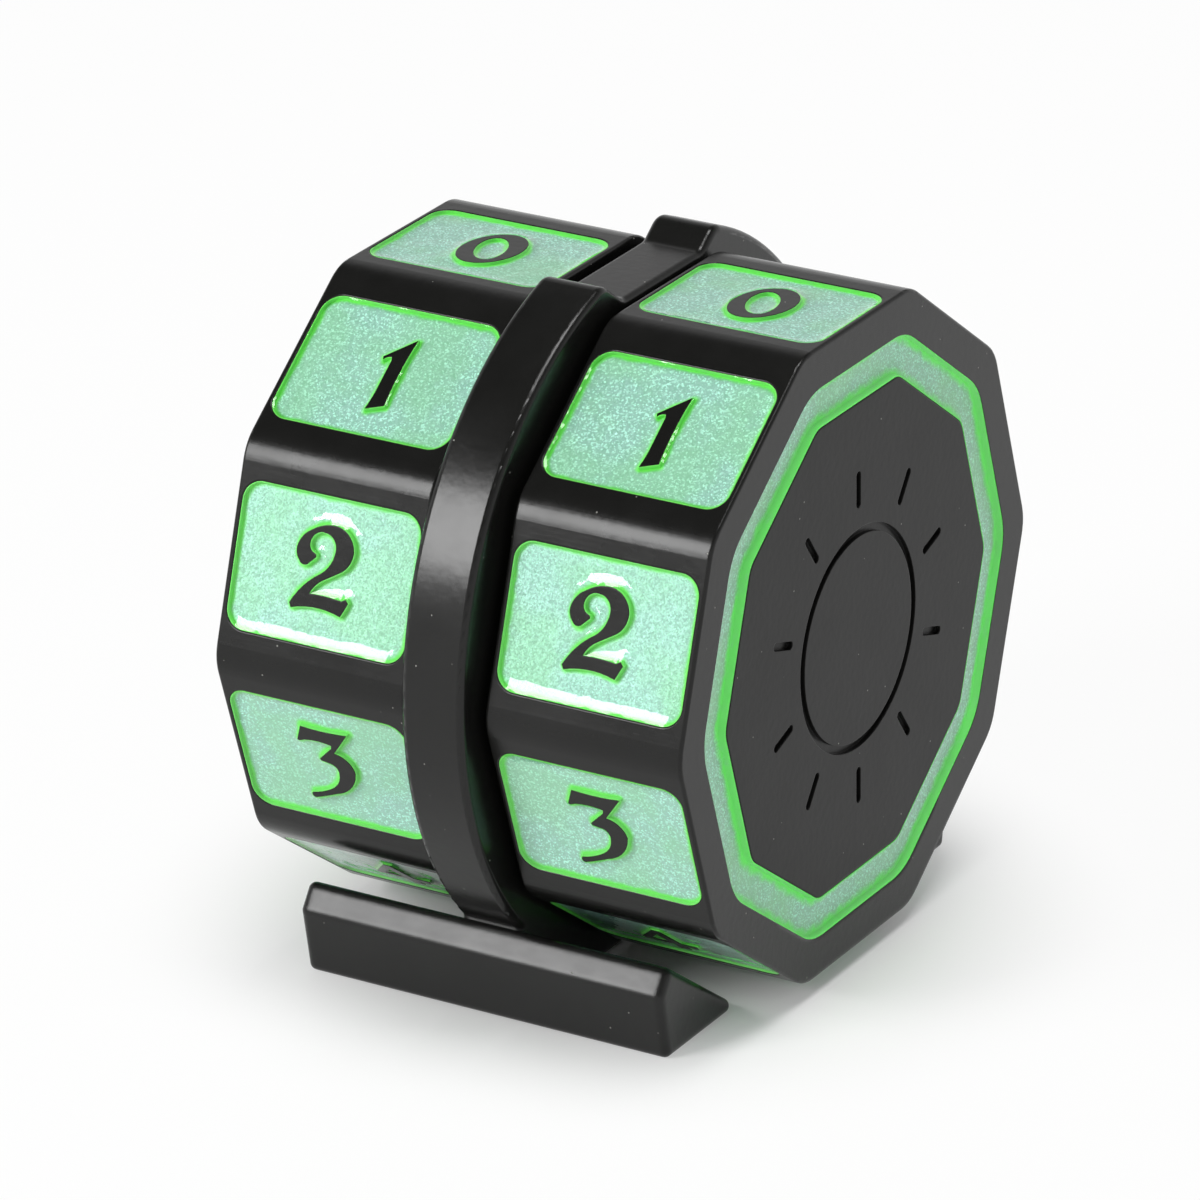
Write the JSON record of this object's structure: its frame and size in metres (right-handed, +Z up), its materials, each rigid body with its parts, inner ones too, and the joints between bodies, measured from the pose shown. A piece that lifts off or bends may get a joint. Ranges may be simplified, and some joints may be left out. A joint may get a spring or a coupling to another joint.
{
  "type": "two-dial life counter",
  "caption": "Desk score counter: ten-sided number dials click round on an axle on either side of a hoop that stands on two foot bars.",
  "frame": {"origin": "On the table, straight under the middle of the hoop: the centre of the footprint.", "axes": "+X runs along the axle towards the ones dial, the reader looks along +Y at the numbers, +Z is up."},
  "size_m": [0.03, 0.0424, 0.0405],
  "materials": {
    "black_casting": "satin black coating over a zinc casting",
    "green_enamel": "clear green resin with fine glitter over a pale floor",
    "steel": "plain turned and rolled steel",
    "brass": "turned brass, lightly oiled"
  },
  "bodies": {
    "stand": {"stand_frame": "black_casting", "axle": "steel", "ones_thrust_washer": "steel", "tens_thrust_washer": "steel", "ones_disc_spring": "steel", "tens_disc_spring": "steel", "retaining_washers": "steel", "retaining_screws": "steel", "ones_click_spring": "steel", "tens_click_spring": "steel", "spring_rivets": "steel"},
    "ones_dial": {"ones_dial_shell": "black_casting", "ones_number_enamel": "green_enamel", "ones_ring_enamel": "green_enamel", "ones_end_cap": "black_casting", "ones_bushing": "brass"},
    "tens_dial": {"tens_dial_shell": "black_casting", "tens_number_enamel": "green_enamel", "tens_ring_enamel": "green_enamel", "tens_end_cap": "black_casting", "tens_bushing": "brass"}
  },
  "joints": [
    {"name": "ones_dial_spin", "type": "hinge", "parent": "stand", "child": "ones_dial", "pos_m": [0, 0, 0.0201], "axis": [1, 0, 0], "continuous": true, "deforming": ["ones_click_spring"]},
    {"name": "tens_dial_spin", "type": "hinge", "parent": "stand", "child": "tens_dial", "pos_m": [0, 0, 0.0201], "axis": [1, 0, 0], "continuous": true, "deforming": ["tens_click_spring"]}
  ]
}
